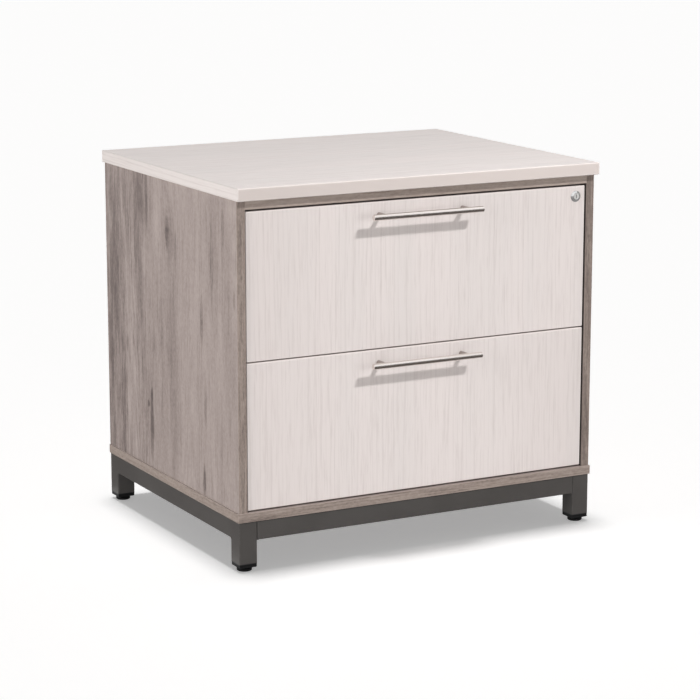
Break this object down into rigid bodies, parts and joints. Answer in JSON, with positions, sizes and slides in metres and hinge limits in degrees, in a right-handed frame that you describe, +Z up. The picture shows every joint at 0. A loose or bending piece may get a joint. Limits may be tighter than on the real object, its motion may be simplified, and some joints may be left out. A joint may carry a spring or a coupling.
{
  "type": "lateral filing cabinet",
  "caption": "Free-standing wooden lateral file with stacked hanging-file drawers on ball slides, bar pulls, a cam lock and a welded steel leg base on levelling feet.",
  "frame": {"origin": "on the floor under the middle of the whole object's box, handles included", "axes": "+X to the right seen from the front, the drawers open towards -Y, +Z up"},
  "size_m": [0.808, 0.674, 0.749],
  "materials": {
    "pale_laminate": "satin pale wood-grain laminate",
    "grey_oak": "matt weathered grey oak laminate",
    "hardboard": "thin hardboard",
    "box_board": "matt foil-wrapped board",
    "base_coat": "satin dark grey powder coat",
    "black_plastic": "moulded black plastic",
    "satin_nickel": "brushed satin nickel",
    "zinc_steel": "zinc-plated steel",
    "glide_plastic": "moulded dark grey plastic",
    "lock_chrome": "polished chrome"
  },
  "bodies": {
    "cabinet": {"top_panel": "pale_laminate", "left_side_panel": "grey_oak", "right_side_panel": "grey_oak", "bottom_panel": "grey_oak", "sub_top_panel": "grey_oak", "back_panel": "hardboard", "left_leg_frame": "base_coat", "right_leg_frame": "base_coat", "front_base_rail": "base_coat", "rear_base_rail": "base_coat", "leg_end_caps": "black_plastic", "outer_slides": "zinc_steel", "cam_fittings": "zinc_steel", "cam_bolts": "zinc_steel", "top_screws": "zinc_steel", "base_bolts": "zinc_steel", "rail_bolts": "zinc_steel", "cabinet_screws": "zinc_steel", "lock_strike": "zinc_steel"},
    "upper_drawer": {"upper_drawer_front": "pale_laminate", "upper_box_front": "box_board", "upper_box_left_side": "box_board", "upper_box_right_side": "box_board", "upper_box_back": "box_board", "upper_box_bottom": "hardboard", "upper_handle": "satin_nickel", "upper_handle_screws": "zinc_steel", "upper_file_rods": "zinc_steel", "upper_file_glides": "glide_plastic", "upper_inner_slides": "zinc_steel", "upper_slide_screws": "zinc_steel", "upper_box_screws": "zinc_steel", "lock_barrel": "lock_chrome", "lock_nut": "zinc_steel"},
    "lower_drawer": {"lower_drawer_front": "pale_laminate", "lower_box_front": "box_board", "lower_box_left_side": "box_board", "lower_box_right_side": "box_board", "lower_box_back": "box_board", "lower_box_bottom": "hardboard", "lower_handle": "satin_nickel", "lower_handle_screws": "zinc_steel", "lower_file_rods": "zinc_steel", "lower_file_glides": "glide_plastic", "lower_inner_slides": "zinc_steel", "lower_slide_screws": "zinc_steel", "lower_box_screws": "zinc_steel"},
    "lock_core": {"lock_plug": "lock_chrome", "lock_cam": "zinc_steel", "lock_cam_screw": "zinc_steel"},
    "upper_middle_pair": {"upper_middle_slides": "zinc_steel"},
    "upper_outer_cage_pair": {"upper_outer_ball_cages": "zinc_steel"},
    "upper_inner_cage_pair": {"upper_inner_ball_cages": "zinc_steel"},
    "lower_middle_pair": {"lower_middle_slides": "zinc_steel"},
    "lower_outer_cage_pair": {"lower_outer_ball_cages": "zinc_steel"},
    "lower_inner_cage_pair": {"lower_inner_ball_cages": "zinc_steel"},
    "front_left_foot_body": {"front_left_foot": "black_plastic"},
    "front_right_foot_body": {"front_right_foot": "black_plastic"},
    "rear_left_foot_body": {"rear_left_foot": "black_plastic"},
    "rear_right_foot_body": {"rear_right_foot": "black_plastic"}
  },
  "joints": [
    {"name": "upper_drawer_slide", "type": "slide", "parent": "cabinet", "child": "upper_drawer", "axis": [0, -1, 0], "range_m": [0, 0.52]},
    {"name": "upper_middle_slide", "type": "slide", "parent": "cabinet", "child": "upper_middle_pair", "axis": [0, -1, 0], "range_m": [0, 0.26]},
    {"name": "upper_outer_cage_slide", "type": "slide", "parent": "cabinet", "child": "upper_outer_cage_pair", "axis": [0, -1, 0], "range_m": [0, 0.13]},
    {"name": "upper_inner_cage_slide", "type": "slide", "parent": "cabinet", "child": "upper_inner_cage_pair", "axis": [0, -1, 0], "range_m": [0, 0.39]},
    {"name": "lower_drawer_slide", "type": "slide", "parent": "cabinet", "child": "lower_drawer", "axis": [0, -1, 0], "range_m": [0, 0.52]},
    {"name": "lower_middle_slide", "type": "slide", "parent": "cabinet", "child": "lower_middle_pair", "axis": [0, -1, 0], "range_m": [0, 0.26]},
    {"name": "lower_outer_cage_slide", "type": "slide", "parent": "cabinet", "child": "lower_outer_cage_pair", "axis": [0, -1, 0], "range_m": [0, 0.13]},
    {"name": "lower_inner_cage_slide", "type": "slide", "parent": "cabinet", "child": "lower_inner_cage_pair", "axis": [0, -1, 0], "range_m": [0, 0.39]},
    {"name": "lock_turn", "type": "hinge", "parent": "upper_drawer", "child": "lock_core", "pos_m": [0.358, -0.3, 0.681], "axis": [0, 1, 0], "range_deg": [0, 90]},
    {"name": "front_left_foot_turn", "type": "hinge", "parent": "cabinet", "child": "front_left_foot_body", "pos_m": [-0.381, -0.284, 0], "axis": [0, 0, 1], "continuous": true},
    {"name": "front_right_foot_turn", "type": "hinge", "parent": "cabinet", "child": "front_right_foot_body", "pos_m": [0.381, -0.284, 0], "axis": [0, 0, 1], "continuous": true},
    {"name": "rear_left_foot_turn", "type": "hinge", "parent": "cabinet", "child": "rear_left_foot_body", "pos_m": [-0.381, 0.312, 0], "axis": [0, 0, 1], "continuous": true},
    {"name": "rear_right_foot_turn", "type": "hinge", "parent": "cabinet", "child": "rear_right_foot_body", "pos_m": [0.381, 0.312, 0], "axis": [0, 0, 1], "continuous": true}
  ],
  "couplings": [
    {"joint": "upper_middle_slide", "follows": "upper_drawer_slide", "ratio": 0.5},
    {"joint": "upper_outer_cage_slide", "follows": "upper_drawer_slide", "ratio": 0.25},
    {"joint": "upper_inner_cage_slide", "follows": "upper_drawer_slide", "ratio": 0.75},
    {"joint": "lower_middle_slide", "follows": "lower_drawer_slide", "ratio": 0.5},
    {"joint": "lower_outer_cage_slide", "follows": "lower_drawer_slide", "ratio": 0.25},
    {"joint": "lower_inner_cage_slide", "follows": "lower_drawer_slide", "ratio": 0.75}
  ]
}
